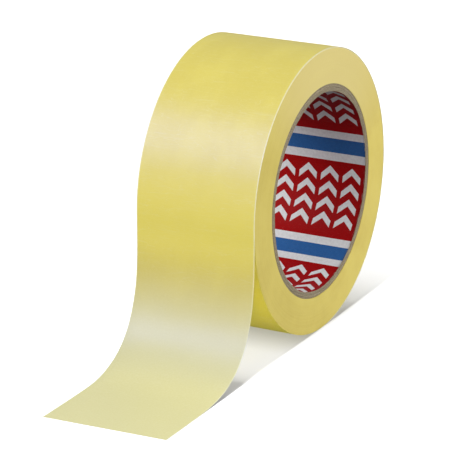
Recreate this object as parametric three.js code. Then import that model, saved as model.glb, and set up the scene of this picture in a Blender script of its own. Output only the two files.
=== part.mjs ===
// A roll of 48 mm masking tape on a 3 inch board core, with its free end peeled
// off the front of the roll, bent forward and lying flat on the ground.
//
// Millimetres. +X is the roll's axis, +Y points to the back, +Z is up. The origin
// is the centre of the core's bore, half way along the roll's width. The roll
// stands on z = -ROLL_R, and the tape leaves it at the peel line (0, -ROLL_R, 0).
//
// The tape is one strip. It is cut here where it moves: the wound turns, the
// outer turn that the tape peels from, and eight lengths of the free end (the
// tail) that hinge on each other as the strip bends.

import * as THREE from "three";

// ---- driving dimensions ----------------------------------------------------------

const TAPE_WIDTH = 48; // width of the strip, along X
const TAPE_T = 0.09; // washi paper backing and its adhesive
const ROLL_R = 53.81; // outside of the outer turn
const TURN_GAP = 0.06; // between the wound turns and the outer turn
const PEEL_OPENING_DEG = 7.5; // from the peel line down to the outer turn's end

const BORE_R = 38.1; // 3 inch core
const LINER_T = 0.15; // printed paper that lines the bore
const PLY_T = 0.6; // one ply of core board
const GLUE_T = 0.04; // gap for the glue on the outside of the liner and each ply
const CORE_RECESS = 0.1; // each end of the core sits this far inside the tape's edge
const CORE_WIDTH = TAPE_WIDTH - 2 * CORE_RECESS;
const PLY_NAMES = ["core_ply_inner", "core_ply_middle", "core_ply_outer"];

const FACETS = 72; // flats round each ring, one of them centred under the axis
const FACET_DEG = 360 / FACETS;

// The tail's direction, in degrees from straight down (0) to level and forward
// (90), every TAIL_STEP along the strip from the peel line.
const TAIL_STEP = 8;
const TAIL_DIRECTION_DEG = [
  0, 1.3, 4.8, 10.6, 19.4, 32.6, 48.6, 63.8, 76.1, 84.6, 88.9, 90, 90, 90,
];
const TAIL_LENGTH = TAIL_STEP * (TAIL_DIRECTION_DEG.length - 1);
// Where each length starts, along the strip. The first is the peel line.
const TAIL_HINGES = [0, 20, 32, 44, 56, 68, 80, 91];
const HINGE_GAP = 0.2; // between the ends of two lengths
const TAIL_FLAT = 2; // longest flat along a length
const PATH_STEP = 0.05; // step that the tail's path is summed in
// Stretch of the strip over which the path's height is corrected.
const LANDING_EASE = { from: 10, to: 80 };

// ---- finishes --------------------------------------------------------------------

const FINISHES = {
  liner: { color: 0x80100f, roughness: 0.45, metalness: 0 },
  board: { color: 0x8e8372, roughness: 0.9, metalness: 0 },
  tape: { color: 0xe0d072, roughness: 0.4, metalness: 0 },
  tapeSingle: { color: 0xdfdaa0, roughness: 0.4, metalness: 0 },
};

// ---- helpers ---------------------------------------------------------------------

// Sections are drawn in the YZ plane. This turns shape x, y, z into Y, Z, X.
const SECTION_TO_WORLD = new THREE.Matrix4().set(
  0, 0, 1, 0,
  1, 0, 0, 0,
  0, 1, 0, 0,
  0, 0, 0, 1,
);

// A section extruded along X, centred on the roll's width.
function piece(name, section, width, finish) {
  const geometry = new THREE.ExtrudeGeometry(section, {
    depth: width,
    bevelEnabled: false,
    steps: 1,
  });
  geometry.translate(0, 0, -width / 2);
  geometry.applyMatrix4(SECTION_TO_WORLD);
  const mesh = new THREE.Mesh(geometry, new THREE.MeshStandardMaterial(FINISHES[finish]));
  mesh.name = name;
  return mesh;
}

// A corner of the ring of flats whose middles lie at the given radius.
function corner(radius, index) {
  const angle = ((index + 0.5) * 2 * Math.PI) / FACETS;
  const reach = radius / Math.cos(Math.PI / FACETS);
  return new THREE.Vector2(reach * Math.cos(angle), reach * Math.sin(angle));
}

function ringSection(inner, outer) {
  const loop = (radius) => Array.from({ length: FACETS }, (_, i) => corner(radius, i));
  const section = new THREE.Shape(loop(outer));
  section.holes.push(new THREE.Path(loop(inner).reverse()));
  return section;
}

// ---- core ------------------------------------------------------------------------

// The liner, then the plies of board from the inside out.
const CORE_LAYERS = [
  { name: "core_liner", thickness: LINER_T, finish: "liner" },
  ...PLY_NAMES.map((name) => ({ name, thickness: PLY_T, finish: "board" })),
];

// Adds the core's layers and returns the radius where the tape starts.
function addCore(group) {
  let radius = BORE_R;
  for (const { name, thickness, finish } of CORE_LAYERS) {
    const section = ringSection(radius, radius + thickness);
    group.add(piece(name, section, CORE_WIDTH, finish));
    radius += thickness + GLUE_T;
  }
  return radius;
}

// ---- tape on the roll ------------------------------------------------------------

const OUTER_TURN_INNER_R = ROLL_R - TAPE_T;

function woundTurns(inner) {
  const section = ringSection(inner, OUTER_TURN_INNER_R - TURN_GAP);
  return piece("tape_wound", section, TAPE_WIDTH, "tape");
}

// From the peel line over the top, down the back and under the roll, stopping
// short of the peel line from below.
function outerTurn() {
  const half = FACETS / 2; // the flat that faces forward has corners half - 1 and half
  const openingFlats = Math.round(PEEL_OPENING_DEG / FACET_DEG - 0.5);
  const lastCorner = half + openingFlats - FACETS;
  const face = (radius) => {
    const points = [new THREE.Vector2(-radius, 0)];
    for (let i = half - 1; i >= lastCorner; i--) points.push(corner(radius, i));
    return points;
  };
  const section = new THREE.Shape([...face(OUTER_TURN_INNER_R), ...face(ROLL_R).reverse()]);
  return piece("tape_outer_turn", section, TAPE_WIDTH, "tape");
}

// ---- the tail's path -------------------------------------------------------------

// Direction, in radians, at a distance along the strip: a smooth cubic through
// the table, with its slopes taken from the neighbouring entries.
function directionAt(distance) {
  const table = TAIL_DIRECTION_DEG;
  const i = Math.min(Math.floor(distance / TAIL_STEP), table.length - 2);
  const start = table[i];
  const end = table[i + 1];
  const after = table[Math.min(i + 2, table.length - 1)];
  const startSlope = i === 0 ? end - start : (end - table[i - 1]) / 2;
  const endSlope = (after - start) / 2;
  const along = distance / TAIL_STEP - i;
  const square = along * along;
  const cube = square * along;
  return THREE.MathUtils.degToRad(
    start * (2 * cube - 3 * square + 1) +
      startSlope * (cube - 2 * square + along) +
      end * (3 * square - 2 * cube) +
      endSlope * (cube - square),
  );
}

// Points on the middle of the strip's thickness, every PATH_STEP.
function sumPath() {
  const points = [new THREE.Vector2(-ROLL_R + TAPE_T / 2, 0)];
  for (let n = 1; n * PATH_STEP <= TAIL_LENGTH + PATH_STEP; n++) {
    const angle = directionAt((n - 0.5) * PATH_STEP);
    const last = points[n - 1];
    points.push(
      new THREE.Vector2(
        last.x - PATH_STEP * Math.sin(angle),
        last.y - PATH_STEP * Math.cos(angle),
      ),
    );
  }
  return points;
}

const path = sumPath();
// Added height that brings the end of the summed path exactly onto the ground.
const landingRise = -ROLL_R + TAPE_T / 2 - path[path.length - 1].y;

function pathAt(distance) {
  const n = Math.min(Math.floor(distance / PATH_STEP), path.length - 2);
  const point = path[n].clone().lerp(path[n + 1], distance / PATH_STEP - n);
  const share = THREE.MathUtils.smoothstep(distance, LANDING_EASE.from, LANDING_EASE.to);
  point.y += landingRise * share;
  return point;
}

// ---- tail ------------------------------------------------------------------------

function tailSection(from, to) {
  const flats = Math.max(1, Math.ceil((to - from) / TAIL_FLAT));
  const outerFace = []; // faces forward at the peel line and up on the ground
  const innerFace = [];
  for (let i = 0; i <= flats; i++) {
    const distance = from + ((to - from) * i) / flats;
    const angle = directionAt(distance);
    const middle = pathAt(distance);
    const outward = new THREE.Vector2(-Math.cos(angle), Math.sin(angle));
    outward.multiplyScalar(TAPE_T / 2);
    outerFace.push(middle.clone().add(outward));
    innerFace.push(middle.clone().sub(outward));
  }
  return new THREE.Shape([...outerFace, ...innerFace.reverse()]);
}

function tailLength(start, i) {
  const isLast = i === TAIL_HINGES.length - 1;
  const from = start + HINGE_GAP / 2;
  const to = isLast ? TAIL_LENGTH : TAIL_HINGES[i + 1] - HINGE_GAP / 2;
  return piece(`tape_tail_${i + 1}`, tailSection(from, to), TAPE_WIDTH, "tapeSingle");
}

// ---- assembly --------------------------------------------------------------------

const roll = new THREE.Group();
const coreOuter = addCore(roll);
roll.add(woundTurns(coreOuter), outerTurn(), ...TAIL_HINGES.map(tailLength));

export default roll;
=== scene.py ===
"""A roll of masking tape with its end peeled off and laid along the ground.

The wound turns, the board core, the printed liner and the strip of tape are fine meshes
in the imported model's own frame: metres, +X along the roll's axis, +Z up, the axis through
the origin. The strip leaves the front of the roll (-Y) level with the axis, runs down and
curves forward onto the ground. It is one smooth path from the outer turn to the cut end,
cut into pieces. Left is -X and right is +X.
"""

import math

import bpy
import bmesh
import numpy as np
from mathutils import Matrix, Vector, geometry


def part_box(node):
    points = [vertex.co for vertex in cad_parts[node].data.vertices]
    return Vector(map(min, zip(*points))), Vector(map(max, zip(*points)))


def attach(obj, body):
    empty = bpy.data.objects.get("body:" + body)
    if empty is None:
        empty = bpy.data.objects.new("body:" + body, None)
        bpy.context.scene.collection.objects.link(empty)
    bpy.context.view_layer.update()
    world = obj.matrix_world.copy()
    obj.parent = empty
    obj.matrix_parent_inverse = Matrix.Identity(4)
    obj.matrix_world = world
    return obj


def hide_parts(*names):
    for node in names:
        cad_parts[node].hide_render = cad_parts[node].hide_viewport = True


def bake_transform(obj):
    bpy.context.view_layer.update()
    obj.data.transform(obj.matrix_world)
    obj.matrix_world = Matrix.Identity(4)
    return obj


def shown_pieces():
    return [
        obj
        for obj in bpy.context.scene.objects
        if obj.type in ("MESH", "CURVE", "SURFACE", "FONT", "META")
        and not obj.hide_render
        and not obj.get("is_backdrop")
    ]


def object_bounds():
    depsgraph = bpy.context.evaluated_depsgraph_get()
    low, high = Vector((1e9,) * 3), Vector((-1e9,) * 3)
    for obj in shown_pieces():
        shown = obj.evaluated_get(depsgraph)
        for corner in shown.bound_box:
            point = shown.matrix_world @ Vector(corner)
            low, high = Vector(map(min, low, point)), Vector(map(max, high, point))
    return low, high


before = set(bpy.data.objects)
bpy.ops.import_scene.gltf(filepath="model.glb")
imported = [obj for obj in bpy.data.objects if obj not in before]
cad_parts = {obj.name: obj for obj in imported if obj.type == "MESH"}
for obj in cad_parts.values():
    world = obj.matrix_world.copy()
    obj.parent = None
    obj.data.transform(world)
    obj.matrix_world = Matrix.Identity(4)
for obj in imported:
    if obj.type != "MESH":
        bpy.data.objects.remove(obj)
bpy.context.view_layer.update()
rng = np.random.default_rng(11)

# ---- sizes, in millimetres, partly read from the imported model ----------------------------

MM = 0.001


def high_corner(name):
    """The greatest x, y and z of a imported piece."""
    return [float(value) for value in np.array(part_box(name)[1]) / MM]


PLY_NAMES = ("inner", "middle", "outer")
HALF_WIDTH, ROLL_R = high_corner("tape_outer_turn")[:2]
WOUND_R = high_corner("tape_wound")[1]
CORE_HALF = high_corner("core_ply_inner")[0]
PLY_OUTER = [high_corner(f"core_ply_{name}")[1] for name in PLY_NAMES]
PLY_T = 0.6
CORE_R = PLY_OUTER[2]
LINER_OUTER = high_corner("core_liner")[1]
BORE_R = LINER_OUTER - 0.15
LINER_HALF = CORE_HALF - 0.30
TAPE_T = 0.09
LAYER_GAP = 0.012
GROUND = -ROLL_R


def ease(value, start, over):
    """0 up to start, then a smooth rise to 1 over the given length."""
    t = np.clip((value - start) / over, 0, 1)
    return t * t * (3 - 2 * t)


# ---- the strip's path --------------------------------------------------------------------
# Places along the strip are in mm: 0 at the peel line, positive down the free end, negative
# back round the outer turn.

# direction of the strip every STATION_STEP mm: 0 is straight down, 90 is level and forward
STATION_STEP = 8
DIRECTION_DEG = [0, 1.3, 4.8, 10.6, 19.4, 32.6, 48.6, 63.8, 76.1, 84.6, 88.9, 90, 90, 90]
LENGTH = 104.0
HINGES = [0, 20, 32, 44, 56, 68, 80, 91, LENGTH]
# the pieces are cut halfway between hinges
CUTS = [0.0] + [(a + b) / 2 for a, b in zip(HINGES, HINGES[1:])] + [LENGTH]
STRIP_NAMES = ["tape_peel"] + [f"tape_free_{k}" for k in range(1, 9)]
CUT_SLANT = 0.7  # the cut end leans this far each way
PEEL_BEND = 2.6  # the strip turns away from the roll within this length


def direction(along):
    """Direction in radians: a smooth cubic through the stations."""
    angles = np.array(DIRECTION_DEG, float)
    last = len(angles) - 1
    along = np.clip(np.asarray(along, float), 0, STATION_STEP * last)
    i = np.minimum((along // STATION_STEP).astype(int), last - 1)
    t = along / STATION_STEP - i
    here, following = angles[i], angles[i + 1]
    before, after = angles[np.maximum(i - 1, 0)], angles[np.minimum(i + 2, last)]
    slope_here = np.where(i == 0, angles[1] - angles[0], (following - before) / 2)
    slope_following = (after - here) / 2
    t2, t3 = t * t, t * t * t
    return np.radians(
        here * (2 * t3 - 3 * t2 + 1)
        + slope_here * (t3 - 2 * t2 + t)
        + following * (3 * t2 - 2 * t3)
        + slope_following * (t3 - t2)
    )


PATH_STEP = 0.05
path_along = np.arange(0, LENGTH + 3, PATH_STEP)
path_angle = direction(path_along[:-1] + PATH_STEP / 2)
path_y = np.r_[0, np.cumsum(-np.sin(path_angle) * PATH_STEP)] - ROLL_R + TAPE_T / 2
path_z = np.r_[0, np.cumsum(-np.cos(path_angle) * PATH_STEP)]
# spread the height left over between 10 and 80 mm, so that the end lies on the ground
path_z += (GROUND + TAPE_T / 2 - path_z[-1]) * np.clip((path_along - 10) / 70, 0, 1)


def path_frame(along):
    """The middle of the strip's thickness as y, z, then the outward normal as y, z."""
    along = np.asarray(along, float)
    angle = direction(along)
    turned = np.clip(-along, 0, None) / ROLL_R  # radians back from the peel line
    radius = ROLL_R - TAPE_T / 2 - (TAPE_T + LAYER_GAP) * turned / (2 * math.pi)
    on_roll = along < 0
    return (
        np.where(on_roll, -radius * np.cos(turned), np.interp(along, path_along, path_y)),
        np.where(on_roll, radius * np.sin(turned), np.interp(along, path_along, path_z)),
        np.where(on_roll, -np.cos(turned), -np.cos(angle)),
        np.where(on_roll, np.sin(turned), np.sin(angle)),
    )


def waviness(along, x):
    """How far the strip stands off its path: a slight cup at the edges, deeper on the left,
    and ripples. Nothing on the roll, and nothing on the ground."""
    free = ease(along, start=6, over=20) * (1 - ease(along, start=62, over=18))
    margin = 6
    edge = np.clip((np.abs(x) - (HALF_WIDTH - margin)) / margin, 0, None) ** 2
    cup = -0.42 * edge * np.where(x < 0, 1.0, 0.45)
    long_ripple = 0.10 * np.sin(along / 6.1 + 0.9) * np.sin(x / 15.0 + 0.7)
    short_ripple = 0.05 * np.sin(along / 3.7 + x / 9.0)
    return free * (cup + long_ripple + short_ripple)


def strip_point(along, x, side):
    """A point of the strip: side is +1 on the paper face, -1 on the adhesive face."""
    y, z, normal_y, normal_z = path_frame(along)
    off = side * TAPE_T / 2 + waviness(along, x)
    drift_right = 0.45 * ease(along, start=25, over=55)
    # the free end lands a little ahead on the left
    skew = 0.35 * x / HALF_WIDTH * ease(along, start=20, over=30)
    return np.stack([x + drift_right, y + normal_y * off + skew, z + normal_z * off], -1)


# ---- mesh helpers ------------------------------------------------------------------------


class MeshBuilder:
    """Collects faces, each with a material slot and a UV pair for each corner."""

    def __init__(self):
        self.points, self.faces, self.slots, self.uvs = [], [], [], []

    def add(self, points):
        """Adds points in mm and returns the index of the first."""
        first = len(self.points)
        self.points.extend(np.asarray(points, float).reshape(-1, 3))
        return first

    def face(self, corners, slot, uvs):
        self.faces.append([int(corner) for corner in corners])
        self.slots.append(slot)
        self.uvs.extend(uvs)

    def grid(self, points, uv, slot, wrap=False, flip=False):
        """Faces over rows x columns of points; wrap joins the last row to the first."""
        rows, columns = points.shape[:2]
        index = self.add(points) + np.arange(rows * columns).reshape(rows, columns)
        if wrap:
            index = np.concatenate([index, index[:1]])
            closing = uv[0].copy()
            closing[:, 0] = uv[-1, :, 0] + (uv[1, :, 0] - uv[0, :, 0])
            uv = np.concatenate([uv, closing[None]])
        for row in range(len(index) - 1):
            for column in range(columns - 1):
                corners = [
                    (row, column),
                    (row + 1, column),
                    (row + 1, column + 1),
                    (row, column + 1),
                ]
                if flip:
                    corners.reverse()
                self.face([index[at] for at in corners], slot, [uv[at] for at in corners])

    def build(self, name, materials, sharp_deg, merge=1e-7):
        """The finished object, with points closer than merge (metres) joined."""
        mesh = bpy.data.meshes.new(name)
        mesh.from_pydata((np.array(self.points) * MM).tolist(), [], self.faces)
        layer = mesh.uv_layers.new(name="uv_mm")
        layer.data.foreach_set("uv", np.array(self.uvs, np.float32).ravel())
        for material in materials:
            mesh.materials.append(material)
        mesh.polygons.foreach_set("material_index", np.array(self.slots, np.int32))
        obj = bpy.data.objects.new(name, mesh)
        bpy.context.scene.collection.objects.link(obj)
        joined = bmesh.new()
        joined.from_mesh(mesh)
        bmesh.ops.remove_doubles(joined, verts=joined.verts, dist=merge)
        joined.to_mesh(mesh)
        joined.free()
        mesh.shade_smooth()
        mesh.set_sharp_from_angle(angle=math.radians(sharp_deg))
        mesh.validate()
        return obj


def uv_pairs(u, v):
    return np.stack(np.broadcast_arrays(u, v), -1)


def ring(name, profile, relief, material, segments, sharp_deg):
    """A closed (x, radius) profile turned about the axis. relief(x, radius, angle) gives
    how far each point moves in x and in radius."""
    closed = np.array(profile + profile[:1], float)
    angles = np.arange(segments) * 2 * math.pi / segments
    angle = np.repeat(angles[:, None], len(closed), 1)
    x = np.tile(closed[:, 0], (segments, 1))
    radius = np.tile(closed[:, 1], (segments, 1))
    move_x, move_radius = relief(x, radius, angle)
    x, radius = x + move_x, radius + move_radius
    points = np.stack([x, radius * np.cos(angle), radius * np.sin(angle)], -1)
    builder = MeshBuilder()
    builder.grid(points, uv_pairs(angle * radius, x + radius), slot=0, wrap=True)
    return builder.build(name, [material], sharp_deg)


def periodic(seed, waves, amplitude):
    """A smooth random function of an angle."""
    draws = np.random.default_rng(seed)
    sizes = draws.normal(size=waves) / np.sqrt(waves)
    phases = draws.uniform(0, 2 * math.pi, waves)
    return lambda angle: amplitude * sum(
        sizes[i] * np.sin((i + 1) * angle + phases[i]) for i in range(waves)
    )


def place(obj, body, stands_for):
    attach(obj, body)
    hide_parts(stands_for)


# ---- material helpers --------------------------------------------------------------------


class Material:
    """A short way to write node trees: each call adds nodes and returns an output."""

    def __init__(self, name):
        self.material = bpy.data.materials.new(name)
        self.material.use_nodes = True
        self.tree = self.material.node_tree
        self.tree.nodes.clear()
        self.surface = self.tree.nodes.new("ShaderNodeOutputMaterial").inputs["Surface"]

    def put(self, socket, value):
        if isinstance(value, bpy.types.NodeSocket):
            self.tree.links.new(value, socket)
        elif isinstance(value, tuple) and socket.type == "RGBA":
            socket.default_value = (*value, 1.0)
        else:
            socket.default_value = value

    def add(self, kind, inputs=None, output=0, **settings):
        node = self.tree.nodes.new(kind)
        for key, value in settings.items():
            setattr(node, key, value)
        for key, value in (inputs or {}).items():
            self.put(node.inputs[key], value)
        return node.outputs[output]

    def math(self, operation, first, second=0.0):
        inputs = {0: first, 1: second, 2: 0.0}
        return self.add("ShaderNodeMath", inputs, operation=operation)

    def times(self, first, second):
        return self.math("MULTIPLY", first, second)

    def plus(self, first, second):
        return self.math("ADD", first, second)

    def uv(self):
        return self.add("ShaderNodeUVMap", uv_map="uv_mm")

    def attribute(self, name):
        return self.add("ShaderNodeAttribute", output="Fac", attribute_name=name)

    def position(self):
        """Place on the piece, in mm."""
        metres = self.add("ShaderNodeTexCoord", output="Object")
        inputs = {0: metres, "Scale": 1000.0}
        return self.add("ShaderNodeVectorMath", inputs, operation="SCALE")

    def split(self, vector):
        return self.add("ShaderNodeSeparateXYZ", {0: vector}).node.outputs

    def position_and_radius(self):
        """Place on the piece, its y and z, and its distance from the axis, in mm."""
        position = self.position()
        _, y, z = self.split(position)
        radius = self.math("SQRT", self.plus(self.times(y, y), self.times(z, z)))
        return position, y, z, radius

    def noise(self, dims, at, scale, detail, rough, distortion=0.0):
        inputs = {
            "W" if dims == "1D" else "Vector": at,
            "Scale": scale,
            "Detail": detail,
            "Roughness": rough,
            "Distortion": distortion,
        }
        return self.add("ShaderNodeTexNoise", inputs, noise_dimensions=dims)

    def ramp(self, value, span, levels=(0.0, 1.0)):
        """A smooth step between two levels as the value crosses the span."""
        inputs = dict(enumerate((value, *span, *levels)))
        return self.add("ShaderNodeMapRange", inputs, interpolation_type="SMOOTHSTEP")

    def mix(self, factor, first, second):
        inputs = {0: factor, 6: first, 7: second}
        return self.add("ShaderNodeMix", inputs, output=2, data_type="RGBA")

    def tint(self, base, colour, by, span, amount=1.0):
        """Base, with up to amount of colour mixed in as `by` crosses the span."""
        return self.mix(self.ramp(by, span, levels=(0.0, amount)), base, colour)

    def mapping(self, vector, scale, turn=0.0, move=(0, 0, 0)):
        inputs = {0: vector, "Location": move, "Rotation": (0, 0, turn), "Scale": scale}
        return self.add("ShaderNodeMapping", inputs)

    def fibres(self, vector, pitch, width, turns):
        """Thin curled threads lying several ways: 1 on a thread and 0 between them."""
        found = None
        for k, turn in enumerate(turns):
            stretch = (1 / pitch, 0.16 / pitch, 1)
            at = self.mapping(vector, stretch, turn, move=(3.1 * k, 1.7 * k, 0))
            level = self.noise("2D", at, scale=1.0, detail=1.5, rough=0.5, distortion=0.6)
            line = self.math("ABSOLUTE", self.math("SUBTRACT", level, 0.5))
            line = self.ramp(line, span=(0.0, width), levels=(1.0, 0.0))
            found = line if found is None else self.math("MAXIMUM", found, line)
        return found

    def bump(self, height, distance, strength):
        """Distance is in mm."""
        inputs = {"Height": height, "Distance": distance * MM, "Strength": strength}
        return self.add("ShaderNodeBump", inputs)

    def principled(self, **values):
        inputs = {key.replace("_", " "): value for key, value in values.items()}
        return self.add("ShaderNodeBsdfPrincipled", inputs)

    def mix_shaders(self, factor, first, second):
        return self.add("ShaderNodeMixShader", {0: factor, 1: first, 2: second})

    def finish(self, shader):
        self.tree.links.new(shader, self.surface)
        return self.material


def toned(colour, tone):
    return tuple(tone * part for part in colour)


# ---- materials ---------------------------------------------------------------------------

DEEP = (0.785, 0.672, 0.102)  # many turns deep
DEEP_DARK = (0.720, 0.602, 0.080)
# painted light: a brighter yellow, used near the peel line
DEEP_PAINTED_LIGHT = (0.860, 0.735, 0.100)  # many turns deep, near the peel line
# painted shade: a deeper, more saturated yellow, used behind the free end
DEEP_PAINTED_SHADE = (0.785, 0.680, 0.055)  # many turns deep, behind the free end
# the next two are a single turn, painted paler where light reaches its back than where it
# lies on something
ONE_TURN_BACKLIT = (0.800, 0.775, 0.452)  # one turn
ONE_TURN_NOT_BACKLIT = (0.775, 0.735, 0.335)  # one turn, lying on something
# pale fibres, and painted rim light along the edges
FIBRE_WHITE_AND_RIM_LIGHT = (0.93, 0.91, 0.66)  # where a cut edge scatters light
MIDRANGE = (0.3, 0.7)  # the span that most noise values fall in


def washi(name, speckle=0.22, relief=0.010, roughness=(0.37, 0.46), specular=1.0, cut=False):
    """The strip. The attribute lone is 0 where more tape lies close behind and 1 on a single
    thickness; air is 1 where light also reaches the back of it; shelter is 1 on the roll
    behind the free end, where a painted shade deepens the yellow and dims the painted rim
    light. cut is for the cut edges."""
    mat = Material(name)
    uv = mat.uv()
    along, x, _ = mat.split(uv)
    lone, air, strip_shade = [mat.attribute(key) for key in ("lone", "air", "strip_shade")]
    stretched = mat.mapping(uv, scale=(0.045, 0.08, 1))
    cloud = mat.noise("2D", stretched, scale=1.0, detail=4.0, rough=0.55)
    mottle = mat.noise("2D", uv, scale=1.3, detail=5.0, rough=0.62)
    threads = mat.fibres(uv, pitch=1.1, width=0.018, turns=(0.0, 1.1, 2.3))
    coarse = mat.fibres(uv, pitch=2.9, width=0.009, turns=(0.5, 1.9))
    thread = mat.math("MAXIMUM", mat.times(threads, 0.55), coarse)

    # many turns deep
    deep = mat.tint(DEEP_DARK, DEEP, by=cloud, span=MIDRANGE)
    deep = mat.mix(mat.ramp(cloud, MIDRANGE, levels=(0.55, 1.0)), DEEP, deep)
    deep = mat.tint(deep, (0.84, 0.74, 0.24), by=mottle, span=(0.35, 0.7), amount=0.10)
    # painted light: a brighter yellow near the peel line
    painted_light_near_peel = mat.times(
        mat.ramp(along, span=(-28.0, -4.0)),
        mat.ramp(along, span=(6.0, 22.0), levels=(1.0, 0.0)),
    )
    deep = mat.mix(mat.times(painted_light_near_peel, 0.75), deep, DEEP_PAINTED_LIGHT)
    # painted shade behind the free end: a deeper, more saturated yellow
    deep = mat.mix(strip_shade, deep, DEEP_PAINTED_SHADE)

    # a single thickness, painted paler where light reaches its back
    pale = mat.mix(air, ONE_TURN_NOT_BACKLIT, ONE_TURN_BACKLIT)
    pale = mat.tint(pale, (0.88, 0.86, 0.60), by=mottle, span=(0.35, 0.7), amount=speckle)
    colour = mat.mix(lone, deep, pale)
    colour = mat.mix(mat.times(thread, 0.12), colour, FIBRE_WHITE_AND_RIM_LIGHT)

    # painted rim light along the edges, where a cut edge scatters light; less of it in the
    # painted shade behind the free end
    white = 0.8
    if not cut:
        rim = (HALF_WIDTH - 0.55, HALF_WIDTH - 0.05)
        white = mat.ramp(mat.math("ABSOLUTE", x), rim, levels=(0.0, 0.75))
        patches = mat.noise("2D", uv, scale=2.0, detail=3.0, rough=0.6)
        white = mat.times(white, mat.ramp(patches, span=(0.25, 0.6), levels=(0.6, 1.0)))
    outside_painted_shade = mat.math("SUBTRACT", 1.0, mat.times(strip_shade, 0.8))
    colour = mat.mix(mat.times(white, outside_painted_shade), colour, FIBRE_WHITE_AND_RIM_LIGHT)

    height = mat.plus(mat.times(thread, 0.6), mat.times(mottle, 0.5))
    normal = mat.bump(height, distance=relief, strength=0.45)
    face = mat.principled(
        Base_Color=colour,
        Roughness=0.7 if cut else mat.ramp(mottle, MIDRANGE, levels=roughness),
        Normal=normal,
        IOR=1.68,
        Specular_IOR_Level=specular,
        Specular_Tint=(0.30, 0.36, 1.0),
    )
    glow = mat.mix(0.5, colour, (0.95, 0.93, 0.72))
    through = mat.add("ShaderNodeBsdfTranslucent", {"Color": glow, "Normal": normal})
    return mat.finish(mat.mix_shaders(mat.times(air, 0.32), face, through))


def wound_side():
    """The side of the roll: the edges of many turns."""
    mat = Material("tape_side")
    position, y, z, radius = mat.position_and_radius()
    fine = mat.noise("1D", radius, scale=11.0, detail=2.0, rough=0.6)
    band = mat.noise("1D", mat.plus(radius, 7.3), scale=1.1, detail=3.0, rough=0.55)
    cloud = mat.noise("3D", position, scale=0.055, detail=4.0, rough=0.55)
    grain = mat.noise("3D", position, scale=3.5, detail=4.0, rough=0.65)

    # painted light and shade: lighter from front to back, the front in shade
    cloudy = mat.ramp(cloud, MIDRANGE)
    front = mat.mix(cloudy, (0.628, 0.500, 0.107), (0.708, 0.580, 0.134))
    behind = mat.mix(cloudy, (0.710, 0.562, 0.122), (0.800, 0.655, 0.154))
    colour = mat.tint(front, behind, by=y, span=(-50.0, 45.0))
    # painted light: paler towards the top, or a little behind it: the sine of the height
    # round the roll
    up = mat.math("DIVIDE", mat.plus(mat.times(z, 0.985), mat.times(y, 0.174)), radius)
    colour = mat.tint(colour, (0.800, 0.668, 0.262), by=up, span=(0.30, 1.0), amount=0.85)
    colour = mat.tint(colour, (0.80, 0.69, 0.22), by=band, span=(0.35, 0.68), amount=0.15)
    colour = mat.tint(colour, (0.60, 0.48, 0.09), by=fine, span=(0.35, 0.75), amount=0.10)
    colour = mat.tint(colour, FIBRE_WHITE_AND_RIM_LIGHT, by=grain, span=(0.4, 0.75), amount=0.10)

    # painted rim light: a paler rim, left off low at the front, where the rim is in shade
    painted_shade_low_front = mat.times(mat.ramp(z, span=(2.0, -8.0)), mat.ramp(y, span=(30.0, 0.0)))
    rim = mat.ramp(radius, span=(WOUND_R - 0.5, WOUND_R), levels=(0.0, 0.55))
    white = mat.times(rim, mat.math("SUBTRACT", 1.0, painted_shade_low_front))
    colour = mat.mix(white, colour, FIBRE_WHITE_AND_RIM_LIGHT)
    height = mat.plus(mat.times(fine, 0.7), mat.times(grain, 0.3))
    shader = mat.principled(
        Base_Color=colour,
        Roughness=mat.ramp(grain, MIDRANGE, levels=(0.5, 0.66)),
        Normal=mat.bump(height, distance=0.035, strength=0.5),
        IOR=1.45,
    )
    return mat.finish(shader)


def board(name, tone):
    """Grey recycled board."""
    mat = Material(name)
    position, y, z, radius = mat.position_and_radius()
    grain = mat.noise("3D", position, scale=2.2, detail=5.0, rough=0.7)
    fleck = mat.noise("3D", position, scale=2.6, detail=3.0, rough=0.6)
    layered = {0: mat.times(radius, 9.0), 1: mat.times(y, 0.6), 2: mat.times(z, 0.6)}
    layered = mat.add("ShaderNodeCombineXYZ", layered)
    laminae = mat.noise("3D", layered, scale=1.0, detail=3.0, rough=0.6)
    dark, light = toned((0.215, 0.172, 0.108), tone), toned((0.350, 0.290, 0.190), tone)
    layer = toned((0.44, 0.38, 0.27), tone)
    colour = mat.tint(dark, light, by=grain, span=MIDRANGE)
    colour = mat.tint(colour, layer, by=laminae, span=(0.4, 0.66), amount=0.55)
    # dark flecks, then light ones
    colour = mat.tint(colour, (0.09, 0.08, 0.07), by=fleck, span=(0.56, 0.66), amount=0.75)
    colour = mat.tint(colour, (0.60, 0.54, 0.43), by=fleck, span=(0.40, 0.30), amount=0.6)
    normal = mat.bump(mat.plus(grain, laminae), distance=0.09, strength=0.8)
    return mat.finish(
        mat.principled(Base_Color=colour, Roughness=0.9, Normal=normal, IOR=1.4)
    )


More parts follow.
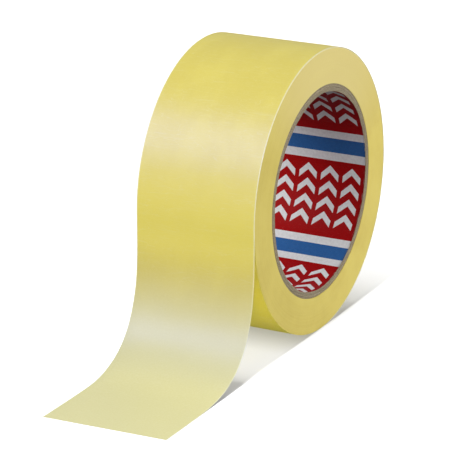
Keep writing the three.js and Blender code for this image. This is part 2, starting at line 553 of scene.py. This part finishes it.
def print_ink(name, ink):
    """Ink on coated liner paper: slight mottle, pinholes, and rubbing at the bore's ends."""
    mat = Material(name)
    uv = mat.uv()
    x = mat.split(uv)[1]
    mottle = mat.noise("2D", uv, scale=0.9, detail=5.0, rough=0.6)
    pinhole = mat.noise("2D", uv, scale=5.0, detail=2.0, rough=0.5)
    stretched = mat.mapping(uv, scale=(0.35, 1.6, 1))
    scuff = mat.noise("2D", stretched, scale=1.0, detail=4.0, rough=0.6)
    colour = mat.tint(toned(ink, 0.90), ink, by=mottle, span=MIDRANGE)
    pinhole_span = (0.735, 0.76)
    colour = mat.tint(colour, (0.55, 0.53, 0.50), by=pinhole, span=pinhole_span, amount=0.25)
    near_end = mat.ramp(mat.math("ABSOLUTE", x), span=(CORE_HALF - 1.1, LINER_HALF))
    rub = mat.times(near_end, mat.ramp(scuff, span=(0.45, 0.7)))
    colour = mat.mix(mat.times(rub, 0.8), colour, (0.45, 0.42, 0.37))
    # shade at the top of the bore, where the lights leave it too bright
    height = mat.split(mat.add("ShaderNodeNewGeometry", output="Position"))[2]
    shade_span = (6 * MM, 34 * MM)
    colour = mat.tint(colour, (0.0, 0.0, 0.0), by=height, span=shade_span, amount=0.5)
    relief = mat.plus(mottle, mat.times(scuff, 0.5))
    shader = mat.principled(
        Base_Color=colour,
        Roughness=mat.ramp(mottle, MIDRANGE, levels=(0.34, 0.48)),
        Normal=mat.bump(relief, distance=0.02, strength=0.6),
        IOR=1.48,
        Specular_IOR_Level=0.05,
    )
    return mat.finish(shader)


# ---- wound turns -------------------------------------------------------------------------


def wound_turns():
    """Each side is a flat of turn edges, some a little proud of the others."""
    radii = np.linspace(CORE_R + 0.04, WOUND_R - 0.06, 58)

    def side_reach():
        """Distance of each turn's edge from the roll's middle, falling off at the rim."""
        proud = np.cumsum(rng.normal(0, 0.018, len(radii)))
        proud -= np.linspace(proud[0], proud[-1], len(radii))
        proud = np.clip(proud + rng.normal(0, 0.02, len(radii)), -0.12, 0.12)
        rim_fall = 0.03 * ease(radii, start=WOUND_R - 1.2, over=1.2) ** 2
        return HALF_WIDTH + (-0.06 + 0.45 * proud) * 0.6 - rim_fall

    right = list(zip(side_reach(), radii))
    left = list(zip(-side_reach(), radii))
    swell_right = periodic(seed=5, waves=5, amplitude=0.03)
    swell_left = periodic(seed=9, waves=5, amplitude=0.03)

    def relief(x, radius, angle):
        on_side = ease(np.abs(x), start=HALF_WIDTH - 0.6, over=0.3)
        twist = radius / 9.0
        swell = np.where(x > 0, swell_right(angle + twist), swell_left(angle - twist))
        return np.where(x > 0, 1.0, -1.0) * on_side * (swell - 0.03), 0.0

    # up the left side, across the outside, down the right side and back along the bore
    profile = left + right[::-1]
    return ring("tape_wound_turns", profile, relief, wound_side(), segments=300, sharp_deg=60)


place(wound_turns(), "wound_roll", "tape_wound")

# ---- board plies -------------------------------------------------------------------------

LIP = 0.36  # how far the innermost ply's ends reach in from the bore
PLY_PROUD = (0.0, 0.05, -0.02)  # how far each ply stands out at its ends
PLY_TONE = (0.92, 1.06, 0.96)


def ply(k):
    """One ply of the core. The innermost has a lip into the bore at each end, deepest at
    the top of the right end."""
    innermost = k == 0
    outer, inner = PLY_OUTER[k], PLY_OUTER[k] - PLY_T
    half = CORE_HALF + PLY_PROUD[k]
    rim = BORE_R - LIP if innermost else inner
    end_profile = [
        (half - 0.10 * (2 * t - 1) ** 4, rim + t * (outer - rim))
        for t in np.linspace(0, 1, 8 if innermost else 5)
    ]
    if innermost:
        end_profile = [(half - 0.26, inner), (half - 0.20, rim + 0.03)] + end_profile
    profile = [(-x, radius) for x, radius in end_profile] + end_profile[::-1]
    rough_right = periodic(seed=20 + k, waves=40, amplitude=0.055)
    rough_left = periodic(seed=30 + k, waves=40, amplitude=0.055)
    ragged = periodic(seed=41, waves=24, amplitude=0.07)

    def relief(x, radius, angle):
        twist = radius * 0.3
        out = np.where(x > 0, rough_right(angle + twist), rough_left(angle - twist)) - 0.04
        if innermost:
            out = np.clip(out, -0.09, 0.12)
            at_end = ease(np.abs(x), start=half - 0.24, over=0.12)
        else:
            at_end = ease(np.abs(x), start=CORE_HALF - 1, over=0.5)
        lip = np.clip((inner - radius) / max(inner - rim, 0.01), 0, 1)
        hang = np.where(x > 0, 0.42 * ease(np.sin(angle), start=0.55, over=0.35), 0.0)
        return np.sign(x) * out * at_end, -lip * (hang + ragged(angle + np.sign(x)))

    name = f"core_board_{PLY_NAMES[k]}"
    material = board(name, PLY_TONE[k])
    return ring(name, profile, relief, material, segments=240, sharp_deg=50)


for k, ply_name in enumerate(PLY_NAMES):
    place(ply(k), "wound_roll", f"core_ply_{ply_name}")

# ---- printed liner -----------------------------------------------------------------------
# Plain bands run along the bore and repeat round it: red with arrowheads, then blue between
# two equal white stripes. Angles are in degrees, from +Y towards +Z.

RED, WHITE, BLUE, SHEET = range(4)  # material slots
ARROW = 4  # marks an arrowhead, printed white
PERIOD = 64.5
BAND_START = 18.0  # a red band starts here, and each PERIOD on
BANDS = ((0.0, 45.5, RED), (45.5, 50.5, WHITE), (50.5, 59.5, BLUE), (59.5, PERIOD, WHITE))
SEAM = 250.0  # the liner butts along a seam, low at the front of the bore
SEAM_GAP = 0.1
CURVE_STEPS = 180
RIM_ROUND = 0.05  # how far the printed side rounds back at its ends
LINER_BACK = LINER_OUTER - 0.01
RIM_UV = [[24.0, 24.1]]  # the v values across the sheet's ends

# arrowheads: rows across the bore, each a line of heads pointing round it
ROW_PITCH, ROW_SHIFT = 9.3, -0.6
HEAD_START = 6.2  # degrees after the start of the red band
HEAD_PITCH = 6.0
HEAD_HALF, HEAD_RISE, HEAD_BAR = 3.75, 3.4, 2.7
HEAD_SHAPE = (  # round the bore, along x
    (0, -HEAD_HALF),
    (HEAD_BAR, -HEAD_HALF),
    (HEAD_BAR + HEAD_RISE, 0),
    (HEAD_BAR, HEAD_HALF),
    (0, HEAD_HALF),
    (HEAD_RISE, 0),
)
SEAM_MARGIN = 0.3  # heads closer to the seam than this are left out


def flat_print():
    """The flat print cut into triangles. Returns its points as (place round the bore, x),
    the triangles, and the kinds of print that each triangle lies in."""
    per_degree = math.pi / 180 * BORE_R
    start, end = SEAM - 360 + SEAM_GAP / 2, SEAM - SEAM_GAP / 2
    points, edges, outlines, kinds = [], [], [], []

    def point(u, x):
        points.append(Vector((u, x)))
        return len(points) - 1

    def outline(corners, kind):
        ids = [point(*corner) for corner in corners]
        edges.extend(zip(ids, ids[1:] + ids[:1]))
        outlines.append(ids)
        kinds.append(kind)

    first = math.floor((start - BAND_START) / PERIOD)
    last = math.ceil((end - BAND_START) / PERIOD)
    for repeat in range(first, last + 1):
        base = BAND_START + repeat * PERIOD
        for low, high, ink in BANDS:
            low, high = max(base + low, start), min(base + high, end)
            if high - low > 1e-6:
                low, high = low * per_degree, high * per_degree
                corners = [(low, -LINER_HALF), (high, -LINER_HALF)]
                corners += [(high, LINER_HALF), (low, LINER_HALF)]
                outline(corners, ink)
        for row in range(-2, 3):
            middle = ROW_SHIFT + ROW_PITCH * row
            for head in range(4):
                tail = (base + HEAD_START) * per_degree + head * HEAD_PITCH
                tip = tail + HEAD_BAR + HEAD_RISE
                after_start = tail > start * per_degree + SEAM_MARGIN
                if after_start and tip < end * per_degree - SEAM_MARGIN:
                    outline([(tail + u, middle + x) for u, x in HEAD_SHAPE], ARROW)
    # lines along the bore that let the sheet follow its curve
    for i in range(1, CURVE_STEPS):
        u = (start + (end - start) * i / CURVE_STEPS) * per_degree
        edges.append((point(u, -LINER_HALF), point(u, LINER_HALF)))
    points, _, triangles, _, _, owners = geometry.delaunay_2d_cdt(
        points, edges, outlines, 1, 1e-5, True
    )
    return points, triangles, [[kinds[i] for i in owner] for owner in owners]


def curved(u, x, radius):
    """Points of the sheet bent round the bore."""
    y, z = radius * np.cos(u / BORE_R), radius * np.sin(u / BORE_R)
    return np.stack(np.broadcast_arrays(x, y, z), -1)


def liner():
    points, triangles, kinds_of = flat_print()
    builder = MeshBuilder()
    all_u, all_x = np.array([tuple(point) for point in points]).T
    rounding = ease(np.abs(all_x), start=LINER_HALF - 0.12, over=0.12) * RIM_ROUND
    builder.add(curved(all_u, all_x, BORE_R + rounding))
    for (a, b, c), kinds in zip(triangles, kinds_of):
        if not kinds:
            continue
        # the printed side faces the axis
        cross = (points[b] - points[a]).cross(points[c] - points[a])
        corners = [a, c, b] if cross > 0 else [a, b, c]
        slot = WHITE if ARROW in kinds else kinds[0]
        builder.face(corners, slot, [tuple(points[i]) for i in corners])

    # the sheet's back and its ends, from the same places along its rim
    rim_u = np.sort(all_u[np.abs(all_x - LINER_HALF) < 1e-4])
    column = rim_u[:, None]
    ends = np.array([-LINER_HALF, LINER_HALF])
    builder.grid(curved(column, ends[None, :], LINER_BACK), uv_pairs(column, ends), SHEET)
    thickness = np.array([[BORE_R + RIM_ROUND, LINER_BACK]])
    for x in ends:
        grid = curved(column, x, thickness)
        builder.grid(grid, uv_pairs(column, np.array(RIM_UV)), SHEET, flip=x > 0)

    # the two edges at the seam
    for u, flip in ((rim_u[0], True), (rim_u[-1], False)):
        xs = np.sort(all_x[np.abs(all_u - u) < 1e-4])
        front = np.where(np.abs(xs) > LINER_HALF - 1e-4, BORE_R + RIM_ROUND, BORE_R)
        corners = np.concatenate([curved(u, xs, front), curved(u, ends[::-1], LINER_BACK)])
        if flip:
            corners = corners[::-1]
        first = builder.add(corners)
        uvs = [(u, corner[0]) for corner in corners]
        builder.face(range(first, first + len(corners)), SHEET, uvs)

    materials = [
        print_ink("print_red", (0.38, 0.004, 0.005)),
        print_ink("print_white", (0.80, 0.83, 0.84)),
        print_ink("print_blue", (0.033, 0.136, 0.390)),
        board("liner_back", tone=1.25),
    ]
    return builder.build("core_printed_liner", materials, sharp_deg=40, merge=2e-6)


place(liner(), "wound_roll", "core_liner")

# ---- the strip ---------------------------------------------------------------------------

STRIP_MATERIALS = [
    washi("tape_face"),
    washi("tape_adhesive", speckle=0.10, relief=0.006, roughness=(0.22, 0.34)),
    washi("tape_cut_edge", specular=0.4, cut=True),
]
# places across the strip, closer together towards its edges
even = np.linspace(-1, 1, 41)
ACROSS = 0.5 * HALF_WIDTH * np.sin(even * math.pi / 2) + 0.5 * HALF_WIDTH * even


def mark_depth(mesh, on_roll):
    """Stores lone, air and shelter, which set the paper's depth of colour."""
    points = np.zeros(len(mesh.vertices) * 3, np.float32)
    mesh.vertices.foreach_get("co", points)
    points = points.reshape(-1, 3) / MM
    lone = air = strip_shade = np.zeros(len(points))
    if on_roll:
        # painted shade on the roll behind the free end, from just below the peel line
        below = np.degrees(np.arctan2(-points[:, 2], -points[:, 1]))  # the peel line
        strip_shade = ease(below, start=0, over=8) * (1 - ease(below, start=75, over=35))
    else:
        path = np.stack([path_y, path_z], -1)[::10]
        nearest = np.argmin(((points[:, None, 1:] - path[None]) ** 2).sum(-1), 1)
        along = path_along[::10][nearest]
        lone = ease(along, start=11, over=33)
        air = ease(along, start=6, over=26) * (1 - ease(along, start=42, over=26))
    for name, values in (("lone", lone), ("air", air), ("strip_shade", strip_shade)):
        attribute = mesh.attributes.new(name, "FLOAT", "POINT")
        attribute.data.foreach_set("value", values.astype(np.float32))


def strip(name, stations):
    """A closed length of the strip through the stations: faces, edges and ends."""
    first, last = stations[0], stations[-1]
    along, x = np.meshgrid(stations, ACROSS, indexing="ij")
    if last == LENGTH:
        along = along - CUT_SLANT * x / HALF_WIDTH * (along - first) / (last - first)
    uv = uv_pairs(along, x)
    face, back = strip_point(along, x, side=1.0), strip_point(along, x, side=-1.0)
    builder = MeshBuilder()
    builder.grid(face, uv, slot=0)
    builder.grid(back, uv, slot=1, flip=True)
    left, right = np.s_[:, 0], np.s_[:, -1]
    start, end = np.s_[0], np.s_[-1]
    for line, flip in ((left, True), (right, False), (start, False), (end, True)):
        edge = np.stack([face[line], back[line]], 1)
        builder.grid(edge, np.stack([uv[line], uv[line]], 1), slot=2, flip=flip)
    obj = builder.build(name, STRIP_MATERIALS, sharp_deg=50)
    mark_depth(obj.data, on_roll=first < 0)
    return obj


outer_turn = strip("tape_outer_turn_strip", np.linspace(-2 * math.pi * ROLL_R, 0.0, 361))
place(outer_turn, "outer_turn", "tape_outer_turn")

for k, name in enumerate(STRIP_NAMES):
    low, high = CUTS[k], CUTS[k + 1]
    if k == 0:
        bend_stations = np.arange(0, PEEL_BEND + 0.4, 0.15)
        stations = np.r_[bend_stations, np.arange(PEEL_BEND + 0.6, high - 0.2, 0.5), high]
    else:
        stations = np.linspace(low, high, int(round((high - low) / 0.5)) + 1)
    piece = strip(name, stations)
    if k == 8:
        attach(piece, "tail_8")
        continue
    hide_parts(f"tape_tail_{k + 1}")
    if k == 0:
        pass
    elif k < 6:
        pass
    else:
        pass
    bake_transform(piece)

# ---- floor and world ---------------------------------------------------------------------


def floor_material():
    """The camera sees grey fading to white with distance; other rays meet a dark floor."""
    mat = Material("floor")
    grit = mat.noise("3D", mat.position(), scale=0.02, detail=3.0, rough=0.5)
    grey = mat.tint((0.37, 0.37, 0.37), (0.38, 0.38, 0.38), by=grit, span=MIDRANGE)
    seen = mat.add("ShaderNodeBsdfDiffuse", {"Color": grey})
    away = mat.add(
        "ShaderNodeVectorMath", {0: mat.position()}, output="Value", operation="LENGTH"
    )
    strength = mat.ramp(away, span=(330.0, 900.0), levels=(0.30, 1.0))
    glow = mat.add("ShaderNodeEmission", {"Color": (1, 1, 1), "Strength": strength})
    seen = mat.add("ShaderNodeAddShader", {0: seen, 1: glow})
    bounce = mat.add("ShaderNodeBsdfDiffuse", {"Color": (0.08, 0.08, 0.08)})
    camera_ray = mat.add("ShaderNodeLightPath", output="Is Camera Ray")
    return mat.finish(mat.mix_shaders(camera_ray, bounce, seen))


scene = bpy.context.scene
floor_mesh = bpy.data.meshes.new("floor")
floor_z = GROUND * MM - 0.00003  # just under the strip
reach = 12.0
floor_corners = [(-reach, -reach), (reach, -reach), (reach, reach), (-reach, reach)]
floor_mesh.from_pydata([(x, y, floor_z) for x, y in floor_corners], [], [(0, 1, 2, 3)])
floor_mesh.materials.append(floor_material())
floor = bpy.data.objects.new("floor", floor_mesh)
scene.collection.objects.link(floor)
floor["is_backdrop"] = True

# a white world: full strength to the camera, dimmer as a light
world = bpy.data.worlds.new("world")
scene.world = world
world.use_nodes = True
tree = world.node_tree
sky = tree.nodes["Background"]
sky.inputs["Color"].default_value = (1.0, 1.0, 1.0, 1.0)
ray = tree.nodes.new("ShaderNodeLightPath")
strength = tree.nodes.new("ShaderNodeMapRange")
strength.inputs["To Min"].default_value = 0.36
strength.inputs["To Max"].default_value = 1.0
tree.links.new(ray.outputs["Is Camera Ray"], strength.inputs["Value"])
tree.links.new(strength.outputs[0], sky.inputs["Strength"])

# ---- lights ------------------------------------------------------------------------------


def link_set(name, objects, exclude=False):
    """A collection for light linking: only these objects, or all but these."""
    collection = bpy.data.collections.new(name)
    for obj in objects:
        collection.objects.link(obj)
    if exclude:
        for member in collection.collection_objects:
            member.light_linking.link_state = "EXCLUDE"
    return collection


def softbox(name, toward, distance, size, radiance, lights, blockers=None, glossy=True):
    """A rectangle light facing the origin. lights says what it reaches, blockers what
    casts its shadows; without glossy it leaves no sheen."""
    light = bpy.data.lights.new(name, "AREA")
    light.shape = "RECTANGLE"
    light.size, light.size_y = size
    light.energy = radiance * math.pi * size[0] * size[1]
    obj = bpy.data.objects.new(name, light)
    scene.collection.objects.link(obj)
    away = Vector(toward).normalized()
    obj.location = away * distance
    obj.rotation_mode = "QUATERNION"
    obj.rotation_quaternion = away.to_track_quat("Z", "Y")
    obj.light_linking.receiver_collection = lights
    if blockers is not None:
        obj.light_linking.blocker_collection = blockers
    obj.visible_glossy = glossy
    return obj


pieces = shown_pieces()
free_strip = [obj for obj in pieces if obj.name.startswith(("tape_free", "tape_peel"))]
floor_only = link_set("floor_only", [floor])
not_floor = link_set("not_floor", [floor], exclude=True)
turn_only = link_set("turn_only", [outer_turn])
through_strip = link_set("through_strip", free_strip, exclude=True)
through_all = link_set("through_all", free_strip + [floor], exclude=True)

# a large box in front gives the sheen, and others fill, none of them lighting the floor:
# name, direction, distance, size, radiance, blockers, glossy
for name, toward, distance, size, radiance, blockers, glossy in (
    ("front", (-0.452, -0.64, 0.63), 1.3, (0.95, 0.64), 3.85, None, True),
    ("side", (0.92, 0.0, 0.42), 1.5, (1.1, 1.1), 4.3, None, False),
    ("back", (0.35, 0.75, 0.90), 1.5, (1.2, 1.2), 0.8, None, False),
    ("low", (-0.15, -1.0, 0.08), 1.4, (0.9, 0.7), 3.9, through_strip, False),
    ("rear", (-0.60, 0.80, 0.02), 1.4, (1.0, 0.8), 3.6, None, False),
):
    softbox(name, toward, distance, size, radiance, not_floor, blockers, glossy)
softbox(
    "under", toward=(0.10, 0.10, -1.0), distance=1.3, size=(0.5, 0.5), radiance=8.5,
    lights=turn_only, blockers=through_all, glossy=False,
)
softbox(
    "overhead", toward=(0.0, 0.0, 1.0), distance=1.6, size=(0.17, 2.4), radiance=45.0,
    lights=floor_only,
)
# light from the front that the upper pieces of the strip let through to the floor
for count, radiance in ((4, 80.0), (5, 10.0)):
    upper = [obj for obj in pieces if obj.name in STRIP_NAMES[:count]]
    softbox(
        f"front_floor_{count}", toward=(0.0, -0.80, 0.60), distance=1.3, size=(0.12, 1.05),
        radiance=radiance, lights=floor_only,
        blockers=link_set(f"lets_through_{count}", upper, exclude=True),
    )
softbox(
    "rear_floor", toward=(0.0, 0.643, 0.766), distance=1.3, size=(0.12, 0.5), radiance=55.0,
    lights=floor_only,
)
# what comes through the strip to the turn behind it
wedge = softbox(
    "wedge", toward=(0.0, -1.0, 0.0), distance=0.30, size=(0.30, 0.052), radiance=0.19,
    lights=turn_only, blockers=through_all, glossy=False,
)
wedge.location.z = -0.031
wedge.data.spread = math.radians(5)

# ---- camera ------------------------------------------------------------------------------

camera_data = bpy.data.cameras.new("camera")
camera_data.sensor_width = 36.0
camera_data.lens = 207.946
camera_data.clip_start, camera_data.clip_end = 0.01, 100
camera = bpy.data.objects.new("camera", camera_data)
scene.collection.objects.link(camera)
camera_axes = (
    (0.8800941326, 0.4747408581, -0.0074455036),  # right
    (-0.1464398034, 0.2863262604, 0.9468752064),  # up
    (0.4516521913, -0.8322489953, 0.3215150197),  # back, towards the viewer
)
pose = Matrix(camera_axes).transposed().to_4x4()
pose.translation = Vector((0.4277202820, -0.8193809940, 0.2971763690))
camera.matrix_world = pose
scene.camera = camera
scene.view_settings.view_transform = "Standard"

low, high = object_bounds()
